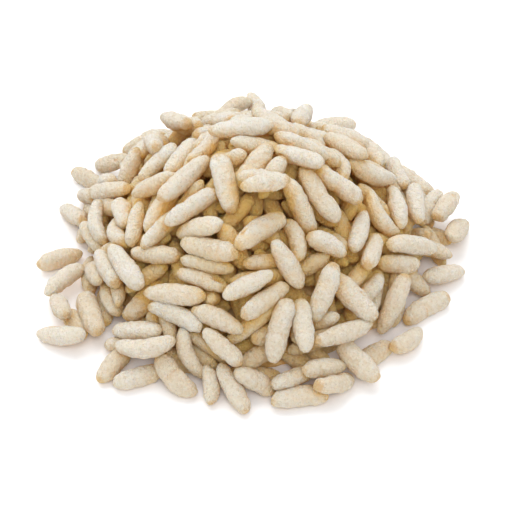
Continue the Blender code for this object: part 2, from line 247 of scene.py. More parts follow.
middleLine = (np.arange(cells) + 0.5) * heap["cell"] - heap["halfMap"]
cellMiddles = np.meshgrid(middleLine, middleLine, indexing="ij")


def cellOf(position):
    return np.clip(((position + heap["halfMap"]) / heap["cell"]).astype(int), 0, cells - 1)


# The height at which each grain would come to rest on the ground, and how far it would
# then stand above the limit. Heights are rounded so that ties fall the same way everywhere.
def tryGrains(ground, limit, bite, x, y, heading, pitch, length, width, bow):
    ballX, ballY, ballZ, radius = ballRow(x, y, heading, pitch, length, width, bow, fewShares)
    pointX = ballX[:, :, None] + underside[:, 0] * radius[:, :, None]
    pointY = ballY[:, :, None] + underside[:, 1] * radius[:, :, None]
    pointZ = ballZ[:, :, None] - undersideDrop * radius[:, :, None]
    below = ground[cellOf(pointX), cellOf(pointY)]
    reach = (below - np.where(below > 0, bite, 0.0) - pointZ).reshape(len(x), -1)
    height = reach.max(axis=1)
    above = (ballZ + radius - limit[cellOf(ballX), cellOf(ballY)]).max(axis=1) + height
    return np.round(height, 4), np.round(above, 4)


# Lets one grain slide, turn and tip, less in each go, to its lowest rest.
def settle(ground, limit, x, y, heading, length, width, bow, bite, slide, turn, tips):
    step = np.array((-1.0, 0.0, 1.0))
    pitches = np.radians(tips)
    tip = float(pitches[1] - pitches[0])
    for go in range(heap["settleGoes"]):
        tries = np.meshgrid(x + slide * step, y + slide * step, heading + turn * step, pitches, indexing="ij")
        tryX, tryY, tryHeading, tryPitch = (values.ravel() for values in tries)
        same = np.ones(len(tryX))
        heights, above = tryGrains(ground, limit, bite, tryX, tryY, tryHeading, tryPitch,
                                   length * same, width * same, bow * same)
        cost = heights + heap["standingCost"] * np.clip(above, 0, None) + heap["pitchCost"] * tryPitch ** 2
        best = int(np.round(cost, 4).argmin())
        x, y, heading, pitch = (float(values[best]) for values in (tryX, tryY, tryHeading, tryPitch))
        slide *= heap["narrowing"]
        turn *= heap["narrowing"]
        tip *= heap["tipNarrowing"]
        pitches = pitch + tip * np.arange(-2, 3)
    return {"x": round(x, 4), "y": round(y, 4), "z": float(heights[best]), "heading": round(heading, 4),
            "pitch": round(pitch, 4), "length": length, "width": width, "bow": bow,
            "above": float(above[best])}


# The cells under one grain, and the height of its upper side over them.
def upperSide(grain):
    sizes = (np.array([grain[name]]) for name in ("x", "y", "heading", "pitch", "length", "width", "bow"))
    ballX, ballY, ballZ, radius = (row[0] for row in ballRow(*sizes, manyShares))
    margin = 3                  # mm, more than any grain is thick from its middle line
    rows = slice(cellOf(ballX.min() - margin), cellOf(ballX.max() + margin) + 1)
    columns = slice(cellOf(ballY.min() - margin), cellOf(ballY.max() + margin) + 1)
    gridX, gridY = (middles[rows, columns] for middles in cellMiddles)
    ballX, ballY, ballZ, radius = (values[:, None, None] for values in (ballX, ballY, ballZ, radius))
    space = radius ** 2 - (gridX - ballX) ** 2 - (gridY - ballY) ** 2
    top = np.where(space > 0, ballZ + np.sqrt(np.clip(space, 0, None)), emptyCell).max(axis=0)
    return rows, columns, top + grain["z"]


def layOn(ground, owner, grain, grains):
    rows, columns, top = upperSide(grain)
    higher = top > ground[rows, columns]
    ground[rows, columns][higher] = top[higher]
    owner[rows, columns][higher] = len(grains)
    grains.append(grain)


def drawGrain(rng, shrink):
    usual = rng.normal(heap["grainLength"], looseGrain["lengthSpread"])
    length = float(np.clip(usual, looseGrain["shortest"], looseGrain["longest"])) * shrink
    usual = rng.normal(heap["grainWidth"], looseGrain["widthSpread"])
    width = float(np.clip(usual, looseGrain["thinnest"], looseGrain["thickest"]))
    width *= (length / heap["grainLength"]) ** looseGrain["widthPower"]
    bow = float(rng.normal(0, looseGrain["bowSpread"]))
    if rng.random() < looseGrain["bentChance"]:
        bow = float(rng.choice((-1, 1)) * rng.uniform(*looseGrain["bentRange"]))
    return round(length, 3), round(width, 3), round(bow, 4)


# Drops grains one by one where the heap falls furthest short of the limit, till they no longer fit.
def fillUp(rng, ground, owner, limit, grains, bite, shrink):
    spots = heap["spotsTried"]
    pitches = np.radians(heap["firstTips"])
    noPlace = -99               # mm short of the limit
    misses = 0
    while misses < heap["patience"]:
        angle = rng.uniform(0, 2 * math.pi, spots)
        radius = np.sqrt(rng.uniform(0, 1, spots)) * edgeRadius(angle)
        x, y = radius * np.cos(angle), radius * np.sin(angle)
        heading = rng.uniform(0, 2 * math.pi, spots)
        drawn = np.array([drawGrain(rng, shrink) for _ in range(spots)])
        room = heap["usualRoom"] + (heap["extraRoom"] if rng.random() < heap["extraChance"] else 0.0)
        spread = [np.repeat(values, len(pitches)) for values in (x, y, heading)]
        sizes = [np.repeat(values, len(pitches)) for values in drawn.T]
        heights, above = tryGrains(ground, limit, bite, *spread, np.tile(pitches, spots), *sizes)
        heights = heights.reshape(spots, -1).min(axis=1)
        above = above.reshape(spots, -1).min(axis=1)
        short = np.round(limit[cellOf(x), cellOf(y)] - heights - drawn[:, 1] / 2, 4)
        short[above > room + heap["settleRoom"]] = noPlace
        pick = int(short.argmax())
        grain = None
        if short[pick] > noPlace:
            grain = settle(ground, limit, x[pick], y[pick], heading[pick], *map(float, drawn[pick]),
                           bite, heap["slide"], heap["turn"], heap["wideTips"])
        if grain is None or grain["above"] > room:
            misses += 1
        else:
            misses = 0
            layOn(ground, owner, grain, grains)


# Fills the heap, lays the long grains on top, and wedges small ones in the gaps between them.
# Gives the grains, with the count of cells where each shows, and the height map of the heap.
def layHeap():
    rng = np.random.default_rng(heap["randomSeed"])
    skin = skinHeight(*cellMiddles)
    inside = np.hypot(*cellMiddles) < edgeRadius(np.arctan2(cellMiddles[1], cellMiddles[0]))
    ground = np.where(inside, np.clip(skin - heap["layersDepth"], 0, None), 0.0)
    owner = np.full(skin.shape, -1)
    limit = skin.copy()
    for x, y, heading, length, width, bow in topGrains:
        spare, depth = 0.0, heap["topDepth"]
        if math.hypot(x, y) / edgeRadius(math.atan2(y, x)) > heap["edgeShare"]:
            spare, depth = heap["edgeSpare"], heap["edgeDepth"]
        rows, columns, top = upperSide({"x": x, "y": y, "z": 0.0, "heading": math.radians(heading),
                                        "pitch": 0.0, "length": length, "width": width + spare, "bow": bow})
        limit[rows, columns] -= np.where(top > emptyCell, depth, 0.0)
    limit = np.maximum(limit, skin - heap["mostDepth"])
    grains = []
    fillUp(rng, ground, owner, limit, grains, heap["grainBite"], 1.0)
    fillUp(rng, ground, owner, limit - heap["smallDrop"], grains, heap["grainBite"], heap["smallShare"])
    under = len(grains)
    noLimit = skin + 99
    for x, y, heading, length, width, bow in topGrains:
        grain = settle(ground, noLimit, x, y, math.radians(heading), length, width, bow,
                       heap["grainBite"], heap["topSlide"], heap["topTurn"], heap["firstTips"])
        layOn(ground, owner, grain, grains)
    limit = np.where(owner >= under, ground - heap["wedgeDrop"], skin - heap["smallDrop"])
    fillUp(rng, ground, owner, limit, grains, heap["wedgeBite"], heap["smallShare"])
    for number, grain in enumerate(grains):
        grain["shows"] = int((owner == number).sum())
    return grains, ground


# Each kind of grain has a few patterns, modelled at the usual size and copied a few dozen times.
# Places along a grain go from -1 at one tip to 1 at the other.
grainShape = {
    "sides": 8,
    "rings": (-0.985, -0.88, -0.66, -0.34, 0.0, 0.34, 0.66, 0.88, 0.985),
    "fullnessRange": (0.88, 1.12),     # how the patterns of a kind differ
    "taperRange": (0.4, 1.6),
    "roundness": 0.52,          # of the tips
    "drift": 0.05,              # mm that each ring is off the line
    "evenness": 0.3,            # of how far the points are moved
    "smoothing": 2,
    "girth": 1.0,               # in the middle, against the width that the grain is laid with
    "girthReach": 0.3,          # each way from the middle
    "lumpSize": 1.7,            # mm
    "wrinkleSize": 0.9,         # mm along the grain
    "wrinkleReach": 2.6,        # mm round it
    "cloudReach": 0.05,         # metres of the cloud pattern that the lumps are taken from
}

plumpGrains = {
    "name": "plumpGrains", "share": 0.19, "patterns": 3,
    "fullness": 2.8,            # how far the thick middle reaches
    "taper": 0.07,              # one end thinner than the other
    "oval": 0.06,               # wider than high
    "uneven": 0.14,             # mm
    "lumps": 0.30,              # mm
    "wrinkles": 0.24,           # mm
    "toast": 0.0,               # how browned, from 0 to 1
}
slimGrains = {
    "name": "slimGrains", "share": 0.19, "patterns": 3,
    "fullness": 2.35, "taper": 0.12, "oval": 0.04, "uneven": 0.14, "lumps": 0.30, "wrinkles": 0.26,
    "toast": 0.1,
}
bluntGrains = {
    "name": "bluntGrains", "share": 0.19, "patterns": 3,
    "fullness": 3.6, "taper": 0.05, "oval": 0.08, "uneven": 0.15, "lumps": 0.36, "wrinkles": 0.26,
    "toast": 0.05,
}
wrinkledGrains = {
    "name": "wrinkledGrains", "share": 0.13, "patterns": 3,
    "fullness": 3.4, "taper": 0.06, "oval": 0.08, "uneven": 0.12, "lumps": 0.30, "wrinkles": 0.30,
    "rings": (-0.985, -0.88, -0.70, -0.50, -0.30, -0.10, 0.10, 0.30, 0.50, 0.70, 0.88, 0.985),
    "folds": 0.05,              # every other ring is drawn in by about this share
    "foldRange": (0.5, 1.5),    # times that
    "toast": 0.2,
}
waistedGrains = {
    "name": "waistedGrains", "share": 0.06, "patterns": 3,
    "fullness": 3.8, "taper": 0.05, "oval": 0.08, "uneven": 0.12, "lumps": 0.30, "wrinkles": 0.26,
    "outerRings": (0.6, 0.86, 0.985),
    "crackRange": (-0.12, 0.12),       # where along the grain the crack is
    "crackReach": 0.16,         # to the rings beside it
    "crackDepth": 0.7,          # it is drawn towards a point this share of the half width down
    "crackEdge": 0.7,           # what is left of its ring's unevenness along the grain
    "crackNear": 0.25,          # mm
    "waist": 0.90,              # what is left of the width at the crack
    "toast": 0.1,
}
burstGrains = {
    "name": "burstGrains", "share": 0.09, "patterns": 3,
    "fullness": 3.3, "taper": 0.08, "oval": 0.10, "uneven": 0.16, "lumps": 0.36, "wrinkles": 0.20,
    "bursts": 1,                # places where the skin has split
    "burstRange": (0.25, 0.7),  # how far from the middle they are
    "burstReach": 0.22,         # along the grain, each way
    "burstFacing": 0.93,        # how squarely its faces look one way
    "burstRim": 0.30,           # mm
    "burstDepth": 0.7,          # mm
    "toast": 0.45,
}
roughGrains = {
    "name": "roughGrains", "share": 0.15, "patterns": 3,
    "fullness": 3.0, "taper": 0.08, "oval": 0.10, "uneven": 0.20, "lumps": 0.46, "wrinkles": 0.30,
    "bursts": 3, "burstRange": (0.25, 0.7), "burstReach": 0.14, "burstFacing": 0.93,
    "burstRim": 0.30, "burstDepth": 0.4,
    "toast": 0.6,
}
buriedGrains = {
    "name": "buriedGrains", "share": 0.0, "patterns": 4,
    "fullness": 3.2, "taper": 0.06, "oval": 0.08, "uneven": 0.20, "lumps": 0.36, "wrinkles": 0.20,
    "smoothing": 1,             # seen only deep between the others
    "toast": 0.3,
}
kinds = (plumpGrains, slimGrains, bluntGrains, wrinkledGrains, waistedGrains, burstGrains,
         roughGrains, buriedGrains)


def startFresh():
    if bpy.context.object and bpy.context.object.mode != "OBJECT":
        bpy.ops.object.mode_set(mode="OBJECT")
    bpy.ops.object.select_all(action="DESELECT")


# Selects what the test holds for, of the vertices or faces of the mesh in edit mode.
def pickVertices(mesh, test):
    shape = bmesh.from_edit_mesh(mesh)
    for vertex in shape.verts:
        vertex.select_set(test(vertex.co))
    bmesh.update_edit_mesh(mesh)


def pickFaces(mesh, test):
    shape = bmesh.from_edit_mesh(mesh)
    for face in shape.faces:
        face.select_set(False)
    for face in shape.faces:
        if test(face.calc_center_median(), face.normal):
            face.select_set(True)
    bmesh.update_edit_mesh(mesh)


def addModifier(thing, kind, **settings):
    modifier = thing.modifiers.new(kind.lower(), kind)
    for name, value in settings.items():
        setattr(modifier, name, value)
    bpy.context.view_layer.objects.active = thing
    bpy.ops.object.modifier_apply(modifier=modifier.name)


# Pushes the skin in and out by a cloud pattern whose size along each axis is given in millimetres.
def roughen(thing, strength, size, place):
    bpy.ops.object.select_all(action="DESELECT")
    bpy.ops.object.empty_add(location=place)
    marker = bpy.context.object
    marker.scale = [side * mm for side in size]
    bpy.context.view_layer.update()
    clouds = bpy.data.textures.new("clouds", "CLOUDS")
    clouds.noise_scale = 1.0
    clouds.noise_depth = 1
    addModifier(thing, "DISPLACE", texture=clouds, texture_coords="OBJECT", texture_coords_object=marker,
                strength=strength * mm, mid_level=0.5)
    bpy.data.objects.remove(marker)
    bpy.data.textures.remove(clouds)


# Models one pattern, and gives its points, with their length and girth brought to -1 to 1.
def modelGrain(kind, number):
    rng = np.random.default_rng(100 * kinds.index(kind) + number)
    half = heap["grainLength"] / 2 * mm
    widest = heap["grainWidth"] / 2 * mm
    full = kind["fullness"] * rng.uniform(*grainShape["fullnessRange"])
    taper = kind["taper"] * rng.uniform(*grainShape["taperRange"])
    rings = kind.get("rings", grainShape["rings"])
    if "waist" in kind:
        crack, reach = rng.uniform(*kind["crackRange"]), kind["crackReach"]
        outer = kind["outerRings"]
        rings = [-share for share in reversed(outer)] + [crack - reach, crack, crack + reach] + list(outer)
    radii = []
    for index, share in enumerate(rings):
        radius = widest * (1 - abs(share) ** full) ** grainShape["roundness"] * (1 + taper * share)
        if "folds" in kind and 0 < index < len(rings) - 1:
            radius *= 1 - kind["folds"] * (index % 2) * rng.uniform(*kind["foldRange"])
        radii.append(radius)

    # A ring is drawn out from tip to tip.
    startFresh()
    bpy.ops.mesh.primitive_circle_add(vertices=grainShape["sides"], radius=radii[0], fill_type="NGON",
                                      location=(rings[0] * half, 0, 0), rotation=(0, math.pi / 2, 0))
    grain = bpy.context.object
    grain.name = kind["name"] + "Pattern"
    bpy.ops.object.transform_apply(location=True, rotation=True, scale=True)
    bpy.ops.object.mode_set(mode="EDIT")
    bpy.ops.mesh.select_all(action="SELECT")
    y = z = 0.0
    for index in range(1, len(rings)):
        driftY, driftZ = rng.normal(0, grainShape["drift"] * mm, 2)
        y, z = y + driftY, z + driftZ
        reach = (rings[index] - rings[index - 1]) * half
        bpy.ops.mesh.extrude_region_move(TRANSFORM_OT_translate={"value": (reach, driftY, driftZ)})
        grow = radii[index] / radii[index - 1]
        bpy.ops.transform.resize(value=(1, grow, grow), center_override=(rings[index] * half, y, z))
    bpy.ops.mesh.select_all(action="SELECT")
    bpy.ops.mesh.normals_make_consistent(inside=False)
    bpy.ops.transform.resize(value=(1, 1 + kind["oval"], 1 - kind["oval"]), center_override=(0, 0, 0))
    bpy.ops.transform.vertex_random(offset=kind["uneven"] * mm, uniform=grainShape["evenness"],
                                    seed=number + 1, wait_for_input=False)
    bpy.ops.object.vertex_group_add()          # it will hold what has cracked or split

    if "waist" in kind:
        bpy.ops.mesh.select_mode(type="VERT")
        near = kind["crackNear"] * mm
        pickVertices(grain.data, lambda spot: abs(spot.x - crack * half) < near)
        bpy.ops.transform.resize(value=(kind["crackEdge"], kind["waist"], kind["waist"]),
                                 center_override=(crack * half, 0, -kind["crackDepth"] * widest))
        pickVertices(grain.data, lambda spot: abs(spot.x - crack * half) < near and spot.z > 0)
        bpy.ops.object.vertex_group_assign()
        bpy.ops.mesh.select_mode(type="FACE")
    for burst in range(kind.get("bursts", 0)):
        bpy.ops.mesh.select_mode(type="FACE")
        place = rng.uniform(*kind["burstRange"]) * rng.choice((-1, 1)) * half
        turn = rng.uniform(0, 2 * math.pi)
        away = Vector((0, math.cos(turn), math.sin(turn)))
        reach = kind["burstReach"] * half
        pickFaces(grain.data, lambda spot, normal: abs(spot.x - place) < reach
                  and normal.dot(away) > kind["burstFacing"])
        bpy.ops.mesh.inset(thickness=kind["burstRim"] * mm, depth=0)
        bpy.ops.transform.translate(value=tuple(-away * kind["burstDepth"] * mm))
        bpy.ops.object.vertex_group_assign()
    bpy.ops.object.mode_set(mode="OBJECT")

    smoothing = kind.get("smoothing", grainShape["smoothing"])
    addModifier(grain, "SUBSURF", levels=smoothing, render_levels=smoothing)
    place = rng.uniform(-grainShape["cloudReach"], grainShape["cloudReach"], 3)
    lump, around = grainShape["lumpSize"], grainShape["wrinkleReach"]
    roughen(grain, kind["lumps"], (lump, lump, lump), place)
    roughen(grain, kind["wrinkles"], (grainShape["wrinkleSize"], around, around), place)

    mesh = grain.data
    points = np.empty(3 * len(mesh.vertices))
    mesh.vertices.foreach_get("co", points)
    points = points.reshape(-1, 3)
    faces = np.empty(len(mesh.loops), int)
    mesh.loops.foreach_get("vertex_index", faces)
    pit = np.zeros(len(points))
    for vertex in mesh.vertices:
        for entry in vertex.groups:
            pit[vertex.index] = entry.weight
    low, high = points.min(axis=0), points.max(axis=0)
    points -= (low + high) / 2
    points[:, 0] /= (high[0] - low[0]) / 2
    body = points[np.abs(points[:, 0]) < grainShape["girthReach"]]
    points[:, 1:] *= grainShape["girth"] / np.hypot(body[:, 1], body[:, 2]).mean()
    bpy.data.objects.remove(grain)
    return {"points": points, "faces": faces.reshape(-1, 4), "pit": pit}


# What each grain is coloured by, painted shade and painted top light included.
toning = {
    "skyTurns": 10,             # ways that the open sky is looked for
    "skyReaches": (0.9, 1.8, 3.0, 4.5, 7.0),   # mm
    "edgeFade": 12,             # mm over which the shade weakens to the heap's edge,
    "edgeStart": 3,             # from this far outside it
    "edgeShade": 0.65,
    "backFade": 0.35,           # the shade weakens by this share
    "backReach": 30,            # over this many mm to the back
    # A grain's paleness is its own random tone, plus painted top light: the higher it lies, the paler.
    "ownTint": 0.6,             # how pale a grain is, by chance
    "paintedTopLight": 0.4,          # and by its height in the heap
    "tipTones": (0.25, 1.1),
    "tipStart": 0.5,
    "patternReach": 500,        # mm over which the grains take their own piece of the patterns
    "floorGap": 0.02,           # mm
}


# How much of the sky each point of the heap can't see, by the height of what stands round it.
def shadeOf(x, y, z, ground):
    turns = toning["skyTurns"]
    seen = np.zeros(len(x))
    for k in range(turns):
        angle = (k + 0.5) * 2 * math.pi / turns
        steepest = np.zeros(len(x))
        for reach in toning["skyReaches"]:
            near = ground[cellOf(x + reach * math.cos(angle)), cellOf(y + reach * math.sin(angle))]
            steepest = np.maximum(steepest, (near - z) / reach)
        seen += 1 - steepest / np.sqrt(1 + steepest ** 2)
    return 1 - seen / turns


# The painted shade is weaker at the edge and the back, which lie open to the light.
def paintedShadeOf(x, y, z, ground):
    fromEdge = edgeRadius(np.arctan2(y, x)) + toning["edgeStart"] - np.hypot(x, y)
    inside = np.clip(fromEdge / toning["edgeFade"], toning["edgeShade"], 1)
    inside *= 1 - toning["backFade"] * np.clip(y / toning["backReach"], 0, 1)
    return shadeOf(x, y, z, ground) * inside


def makePiece(name, points, faces, **attributes):
    mesh = bpy.data.meshes.new(name)
    mesh.from_pydata(points * mm, [], faces)
    for title, values in attributes.items():
        kind, slot = ("FLOAT_VECTOR", "vector") if values.ndim == 2 else ("FLOAT", "value")
        mesh.attributes.new(title, kind, "POINT").data.foreach_set(slot, values.astype(np.float32).ravel())
    mesh.polygons.foreach_set("use_smooth", np.ones(len(faces), bool))
    mesh.update()
    piece = bpy.data.objects.new(name, mesh)
    bpy.context.scene.collection.objects.link(piece)
    return piece


# Copies a kind's patterns to where its grains lie: each is rolled, bowed, tipped and turned.
def layPiece(kind, grains, ground):
    patterns = [modelGrain(kind, number) for number in range(kind["patterns"])]
    rng = np.random.default_rng(heap["randomSeed"] + kinds.index(kind))
    rows = {"points": [], "faces": [], "own": [], "tips": [], "pit": [], "toneAndPaintedTopLight": [], "deep": []}
    count = 0
    for turn, grain in enumerate(grains):
        pattern = patterns[turn % len(patterns)]
        roll, flip = rng.uniform(0, 2 * math.pi), rng.choice((-1.0, 1.0))
        # Own random tone, plus painted top light by the grain's height in the heap.
        toneAndPaintedTopLight = toning["ownTint"] * rng.uniform(0, 1) + toning["paintedTopLight"] * grain["z"] / heap["heapHeight"]
        own = rng.uniform(-toning["patternReach"], toning["patternReach"], 3)
        tipTones = rng.uniform(*toning["tipTones"], 2)
        share, side, up = pattern["points"].T
        side, up = side * math.cos(roll) - up * math.sin(roll), side * math.sin(roll) + up * math.cos(roll)
        share, side = share * flip, side * flip
        along = share * grain["length"] / 2
        aside = grain["bow"] * grain["length"] * (0.5 - share ** 2) + side * grain["width"] / 2
        rise = up * grain["width"] / 2
        turnCos, turnSin = math.cos(grain["heading"]), math.sin(grain["heading"])
        flat, steep = math.cos(grain["pitch"]), math.sin(grain["pitch"])
        forward = along * flat - rise * steep
        x = grain["x"] + forward * turnCos - aside * turnSin
        y = grain["y"] + forward * turnSin + aside * turnCos
        z = np.maximum(grain["z"] + along * steep + rise * flat, toning["floorGap"])
        toTip = np.clip((np.abs(share) - toning["tipStart"]) / (1 - toning["tipStart"]), 0, 1)
        rows["points"].append(np.column_stack((x, y, z)))
        rows["faces"].append(pattern["faces"] + count)
        rows["own"].append(np.column_stack((along, side * grain["width"] / 2, rise)) + own)
        rows["tips"].append(toTip ** 2 * np.where(share > 0, tipTones[0], tipTones[1]))
        rows["pit"].append(pattern["pit"])
        rows["toneAndPaintedTopLight"].append(np.full(len(x), toneAndPaintedTopLight))
        # Painted shade: how much sky each point can't see, later laid into the colour as gold.
        rows["deep"].append(paintedShadeOf(x, y, z, ground))
        count += len(x)
    joined = {title: np.concatenate(values) for title, values in rows.items()}
    return makePiece(kind["name"], joined.pop("points"), joined.pop("faces"), **joined)


# Which kind each grain is.
choosing = {
    "buriedBelow": 13,          # cells: a grain that shows over fewer is a buried one
    "backStart": -5,            # mm from the middle, where burst and rough grains start to gather,
    "backReach": 35,            # and over how many mm they do
    "leastRough": 0.5,
    "moreRough": 1.6,
    "seedStep": 50,
}


def chooseKinds(grains):
    rng = np.random.default_rng(heap["randomSeed"] + choosing["seedStep"])
    chosen = {kind["name"]: [] for kind in kinds}
    for grain in grains:
        backward = float(np.clip((grain["y"] - choosing["backStart"]) / choosing["backReach"], 0, 1))
        chances = np.array([kind["share"] for kind in kinds])
        for kind in (burstGrains, roughGrains):
            chances[kinds.index(kind)] *= choosing["leastRough"] + choosing["moreRough"] * backward
        pick = int(rng.choice(len(kinds), p=chances / chances.sum()))
        if grain["shows"] < choosing["buriedBelow"]:
            pick = kinds.index(buriedGrains)
        chosen[kinds[pick]["name"]].append(grain)
    return chosen


# A socket of a shader, with Python's operators for its Math nodes.
class Wire:
    def __init__(self, tree, socket=None):
        self.tree = tree
        self.socket = socket

    # Adds a node: its type, its settings, then a value or a link for each socket.
    def add(self, nodeType, settings=None, sockets=None, output=0):
        node = self.tree.nodes.new(nodeType)
        for name, value in (settings or {}).items():
            setattr(node, name, value)
        for key, value in (sockets or {}).items():
            if isinstance(value, Wire):
                self.tree.links.new(value.socket, node.inputs[key])
            else:
                node.inputs[key].default_value = value
        return Wire(self.tree, node.outputs[output])

    def maths(self, operation, first, second):
        return self.add("ShaderNodeMath", {"operation": operation}, {0: first, 1: second})

    def __add__(self, other):
        return self.maths("ADD", self, other)

    def __radd__(self, other):
        return self.maths("ADD", other, self)

    def __sub__(self, other):
        return self.maths("SUBTRACT", self, other)

    def __rsub__(self, other):
        return self.maths("SUBTRACT", other, self)

    def __mul__(self, other):
        return self.maths("MULTIPLY", self, other)

    def __rmul__(self, other):
        return self.maths("MULTIPLY", other, self)

    def attribute(self, name, output=2):
        return self.add("ShaderNodeAttribute", {"attribute_name": name}, output=output)

    def scaled(self, amounts):
        return self.add("ShaderNodeVectorMath", {"operation": "MULTIPLY"}, {0: self, 1: amounts})

    def noise(self, scale, detail, roughness):
        return self.add("ShaderNodeTexNoise", None,
                        {"Vector": self, "Scale": scale, "Detail": detail, "Roughness": roughness})

    # 0 below low, 1 above high, with a soft step between.
    def between(self, low, high):
        return self.add("ShaderNodeMapRange", {"interpolation_type": "SMOOTHSTEP"},
                        {"Value": self, "From Min": low, "From Max": high})

    # This mask lays the second colour over the first.
    def lay(self, first, second):
        return self.add("ShaderNodeMix", {"data_type": "RGBA"}, {0: self, 6: first, 7: second}, output=2)

    # Bumps a few millimetres high, as a normal.
    def relief(self, height):
        return self.add("ShaderNodeBump", None, {"Strength": 1.0, "Distance": height * mm, "Height": self})

    def feed(self, shader, name):
        self.tree.links.new(self.socket, shader.inputs[name])


def startMaterial(name):
    material = bpy.data.materials.new(name)
    material.use_nodes = True
    return material, material.node_tree.nodes["Principled BSDF"]


# The patterns, by their scale per millimetre, their detail and their roughness. Then the
# layers of colour, each over the ones before: the range of its mask, and how much of it there is.
riceLook = {
    "clouds": (0.5, 3.0, 0.6),
    "patches": (1.3, 3.0, 0.6),
    "crumbs": (2.2, 3.0, 0.7),
    "wrinkles": (1.25, 3.0, 0.6),
    "wrinkleStretch": (1.25, 1.0, 1.0),
    "specks": (3.0, 0.0, 0.4),
    "cream": (0.89, 0.79, 0.64, 1),
    "ivory": (0.94, 0.88, 0.79, 1), "ivoryRange": (-0.1, 0.8),
    "ivoryShift": 0.65, "ivoryTint": 0.7, "ivoryClouds": 0.8, "ivoryCrumbs": 0.5,
    "beige": (0.74, 0.60, 0.42, 1), "beigeRange": (0.50, 0.86),
    "beigeCrumbs": 0.4, "beigeTint": 0.3, "beigeAmount": 0.4, "beigeToast": 0.5,
    "toasted": (0.72, 0.46, 0.19, 1), "toastedRange": (0.25, 1.0), "toastedAmount": 0.8,
    "toastedTips": 1.3, "toastedCrumbs": 1.4, "toastedToast": 0.12,
    "splitRange": (0.75, 1.2), "splitAmount": 0.5, "splitCrumbs": 1.6,     # toasted too
    # Painted shade in the hollows of the wrinkles:
    "paintedHollowShade": (0.74, 0.61, 0.43, 1), "paintedHollowShadeRange": (0.36, 0.52), "paintedHollowShadeAmount": 0.3,
    "speck": (0.42, 0.35, 0.27, 1), "speckRange": (0.70, 0.80), "speckAmount": 0.35,
    # Painted shade, laid as gold deep in the heap where the sky is hidden:
    "paintedShadeGold": (1.0, 0.60, 0.17, 1), "paintedShadeGoldRange": (0.08, 0.9), "paintedShadeGoldAmount": 0.92,     # deep in the heap
    "paintedShadePatches": 0.3,
    "roughness": 0.72, "roughnessPatches": 0.25,
    "shine": 0.3,
    "glow": 0.65,               # light that sinks into the airy grain
    "glowColour": (1.0, 0.85, 0.65),
    "glowDepth": 2.0,           # mm
    "relief": 2.4,              # mm
    "reliefCrumbs": 0.5, "reliefSpecks": 0.2,
}


def riceMaterial(kind):
    look = riceLook
    material, shader = startMaterial(kind["name"])
    wire = Wire(material.node_tree)
    own = wire.attribute("own", output=1)
    toneAndPaintedTopLight, tips, pit, deep = (wire.attribute(name) for name in ("toneAndPaintedTopLight", "tips", "pit", "deep"))
    clouds = own.noise(*look["clouds"])
    patches = own.noise(*look["patches"])
    crumbs = own.noise(*look["crumbs"])
    wrinkles = own.scaled(look["wrinkleStretch"]).noise(*look["wrinkles"])
    specks = own.noise(*look["specks"]).between(*look["speckRange"]) * look["speckAmount"]

    # Paleness mixes each grain's random tone with painted top light, so higher grains are laid paler and less
    # beige.
    paleness = toneAndPaintedTopLight * look["ivoryTint"] + clouds * look["ivoryClouds"] + crumbs * look["ivoryCrumbs"]
    colour = (paleness - look["ivoryShift"]).between(*look["ivoryRange"]).lay(look["cream"], look["ivory"])
    dull = (patches + crumbs * look["beigeCrumbs"] - toneAndPaintedTopLight * look["beigeTint"]).between(*look["beigeRange"])
    colour = (dull * (look["beigeAmount"] + kind["toast"] * look["beigeToast"])).lay(colour, look["beige"])
    toasted = tips * look["toastedTips"] + (crumbs - 0.5) * look["toastedCrumbs"]
    toasted = (toasted + kind["toast"] * look["toastedToast"]).between(*look["toastedRange"])
    colour = (toasted * look["toastedAmount"]).lay(colour, look["toasted"])
    split = (pit + (crumbs - 0.5) * look["splitCrumbs"]).between(*look["splitRange"])
    colour = (split * look["splitAmount"]).lay(colour, look["toasted"])
    # Painted shade, darker in the hollows of the wrinkles.
    paintedHollowShadeMask = (1 - wrinkles.between(*look["paintedHollowShadeRange"])) * look["paintedHollowShadeAmount"]
    colour = specks.lay(paintedHollowShadeMask.lay(colour, look["paintedHollowShade"]), look["speck"])
    # Painted shade: gold laid into the colour where the heap hides the sky.
    paintedShadeMask = (deep + (patches - 0.5) * look["paintedShadePatches"]).between(*look["paintedShadeGoldRange"]) * look["paintedShadeGoldAmount"]
    paintedShadeMask.lay(colour, look["paintedShadeGold"]).feed(shader, "Base Color")

    height = wrinkles + crumbs * look["reliefCrumbs"] - specks * look["reliefSpecks"]
    height.relief(look["relief"]).feed(shader, "Normal")
    rough = look["roughness"] + (patches - 0.5) * look["roughnessPatches"]
    rough.feed(shader, "Roughness")
    shader.inputs["Specular IOR Level"].default_value = look["shine"]
    shader.inputs["Subsurface Weight"].default_value = look["glow"]
    shader.inputs["Subsurface Radius"].default_value = look["glowColour"]
    shader.inputs["Subsurface Scale"].default_value = look["glowDepth"] * mm
    return material


# The heart of the heap, which shows only deep between the grains, coloured dark gold as painted shade.
heartShape = {
    "name": "riceHeart",
    "sides": 40,
    "foot": 0.84,               # of the heap's radius
    "steps": (0.84, 0.80, 0.75, 0.66, 0.54, 0.41, 0.27, 0.12),
    "below": 2.6,               # mm under the lowest grains
    "thinnest": 0.6,            # mm
    "floorGap": 0.2,            # mm
    "smoothing": 2,
    "lumps": 1.6,               # mm
    "lumpSize": (3.4, 3.4, 5.1),       # mm
    "lumpPlace": (0.01, 0.02, 0.03),   # metres, where the cloud pattern is taken from
}
# Painted shade: the heart's dark gold stands for the shade deep between the grains.
heartLook = {
    "paintedShadeDark": (0.74, 0.45, 0.15, 1),
    "paintedShadePale": (0.92, 0.64, 0.28, 1),
    "crumbs": (700.0, 3.0, 0.6),       # per metre
    "crumbRange": (0.35, 0.65),
    "relief": 0.3,              # mm
    "roughness": 0.85,
}


